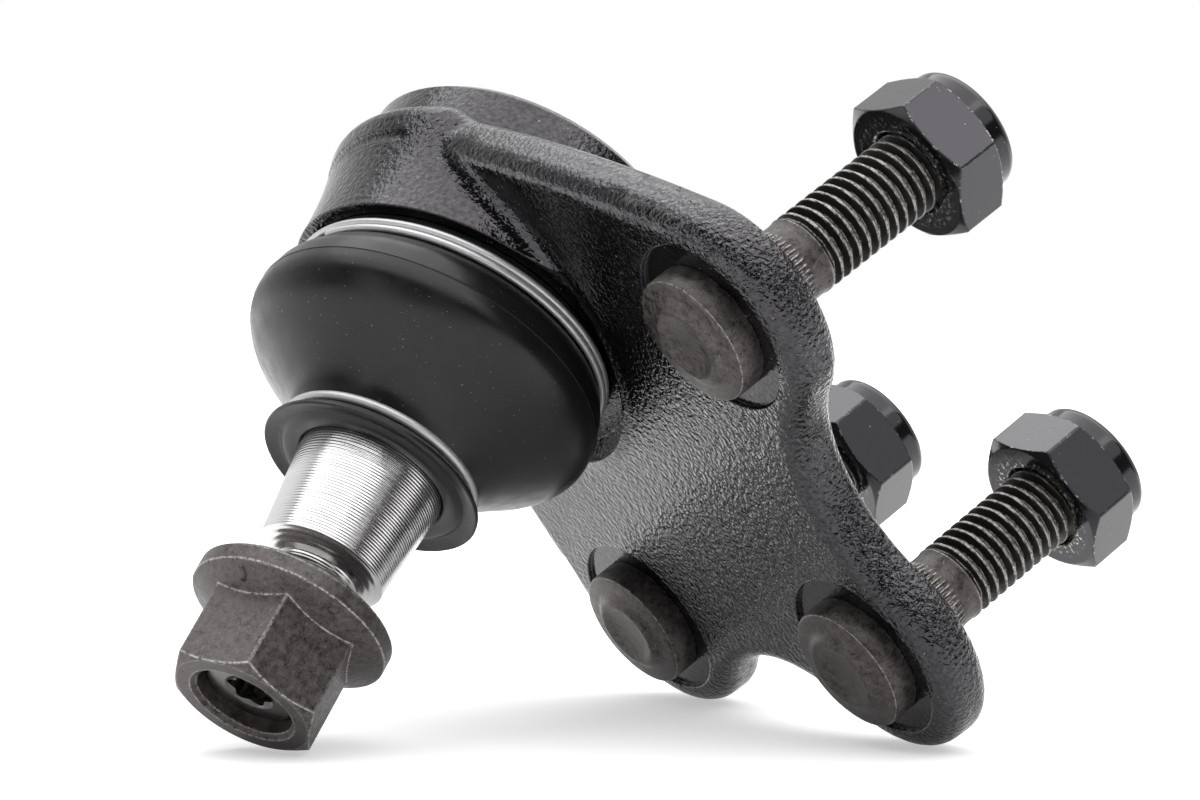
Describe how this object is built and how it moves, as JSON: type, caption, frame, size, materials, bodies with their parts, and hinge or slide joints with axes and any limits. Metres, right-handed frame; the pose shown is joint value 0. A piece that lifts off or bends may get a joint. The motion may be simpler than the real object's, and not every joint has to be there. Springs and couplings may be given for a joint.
{
  "type": "suspension ball joint",
  "caption": "Suspension ball joint: forged bracket with bolts and lock nuts, rubber dust boot with wire clamps, tapered stud and flange nut.",
  "frame": {"origin": "ball centre", "axes": "+Z along the stud toward its nut, -X toward the bolting plate, the part mirror-alike across the XZ plane"},
  "size_m": [0.1067, 0.0974, 0.0914],
  "materials": {
    "black_coat": "semi-gloss black electrocoat over forged steel",
    "bare_cap": "pressed steel",
    "bearing_plastic": "smooth moulded acetal",
    "turned_steel": "bright fine-turned",
    "boot_rubber": "satin moulded",
    "spring_wire": "bright zinc",
    "phosphate_nut": "dark phosphate with worn edges",
    "phosphate_bolt": "brown-grey phosphate, light thread crests",
    "black_paint": "glossy black, chipped",
    "nylon": "dark nylon"
  },
  "bodies": {
    "bracket": {"forged_bracket": "black_coat", "cover_plate": "bare_cap", "bearing_seat": "bearing_plastic", "upper_clamp_ring": "spring_wire", "bolt_right": "phosphate_bolt", "bolt_left": "phosphate_bolt", "bolt_end": "phosphate_bolt"},
    "boot": {"dust_boot": "boot_rubber"},
    "boot_lip": {"lower_clamp_ring": "spring_wire"},
    "stud": {"ball_stud": "turned_steel"},
    "stud_nut": {"stud_nut": "phosphate_nut"},
    "insert_right": {"nylon_insert_right": "nylon"},
    "nut_right": {"lock_nut_right": "black_paint"},
    "insert_left": {"nylon_insert_left": "nylon"},
    "nut_left": {"lock_nut_left": "black_paint"},
    "insert_end": {"nylon_insert_end": "nylon"},
    "nut_end": {"lock_nut_end": "black_paint"}
  },
  "joints": [
    {"name": "stud_swing_x", "type": "hinge", "parent": "bracket", "child": "boot", "pos_m": [0, 0, 0], "axis": [1, 0, 0], "range_deg": [-20, 20], "deforming": ["dust_boot"]},
    {"name": "stud_swing_y", "type": "hinge", "parent": "boot", "child": "boot_lip", "pos_m": [0, 0, 0], "axis": [0, 1, 0], "range_deg": [-20, 20], "deforming": ["dust_boot"]},
    {"name": "stud_spin", "type": "hinge", "parent": "boot_lip", "child": "stud", "pos_m": [0, 0, 0], "axis": [0, 0, 1], "continuous": true},
    {"name": "stud_nut_run", "type": "slide", "parent": "stud", "child": "stud_nut", "axis": [0, 0, 1], "range_m": [-0.005, 0.012]},
    {"name": "nut_right_travel", "type": "slide", "parent": "bracket", "child": "insert_right", "axis": [0.3746, 0, 0.9272], "range_m": [-0.00851, 0.02001]},
    {"name": "nut_right_turn", "type": "hinge", "parent": "insert_right", "child": "nut_right", "pos_m": [-0.03273, -0.0345, 0.01403], "axis": [0.3746, 0, 0.9272], "range_deg": [-2040, 4800]},
    {"name": "nut_left_travel", "type": "slide", "parent": "bracket", "child": "insert_left", "axis": [0.3746, 0, 0.9272], "range_m": [-0.00801, 0.02001]},
    {"name": "nut_left_turn", "type": "hinge", "parent": "insert_left", "child": "nut_left", "pos_m": [-0.03273, 0.0345, 0.01403], "axis": [0.3746, 0, 0.9272], "range_deg": [-1920, 4800]},
    {"name": "nut_end_travel", "type": "slide", "parent": "bracket", "child": "insert_end", "axis": [0.3746, 0, 0.9272], "range_m": [-0.01001, 0.01851]},
    {"name": "nut_end_turn", "type": "hinge", "parent": "insert_end", "child": "nut_end", "pos_m": [-0.06147, 0, 0.02564], "axis": [0.3746, 0, 0.9272], "range_deg": [-2400, 4440]}
  ],
  "couplings": [
    {"joint": "nut_right_travel", "follows": "nut_right_turn", "m_per_rad": 0.00023873},
    {"joint": "nut_left_travel", "follows": "nut_left_turn", "m_per_rad": 0.00023873},
    {"joint": "nut_end_travel", "follows": "nut_end_turn", "m_per_rad": 0.00023873}
  ]
}
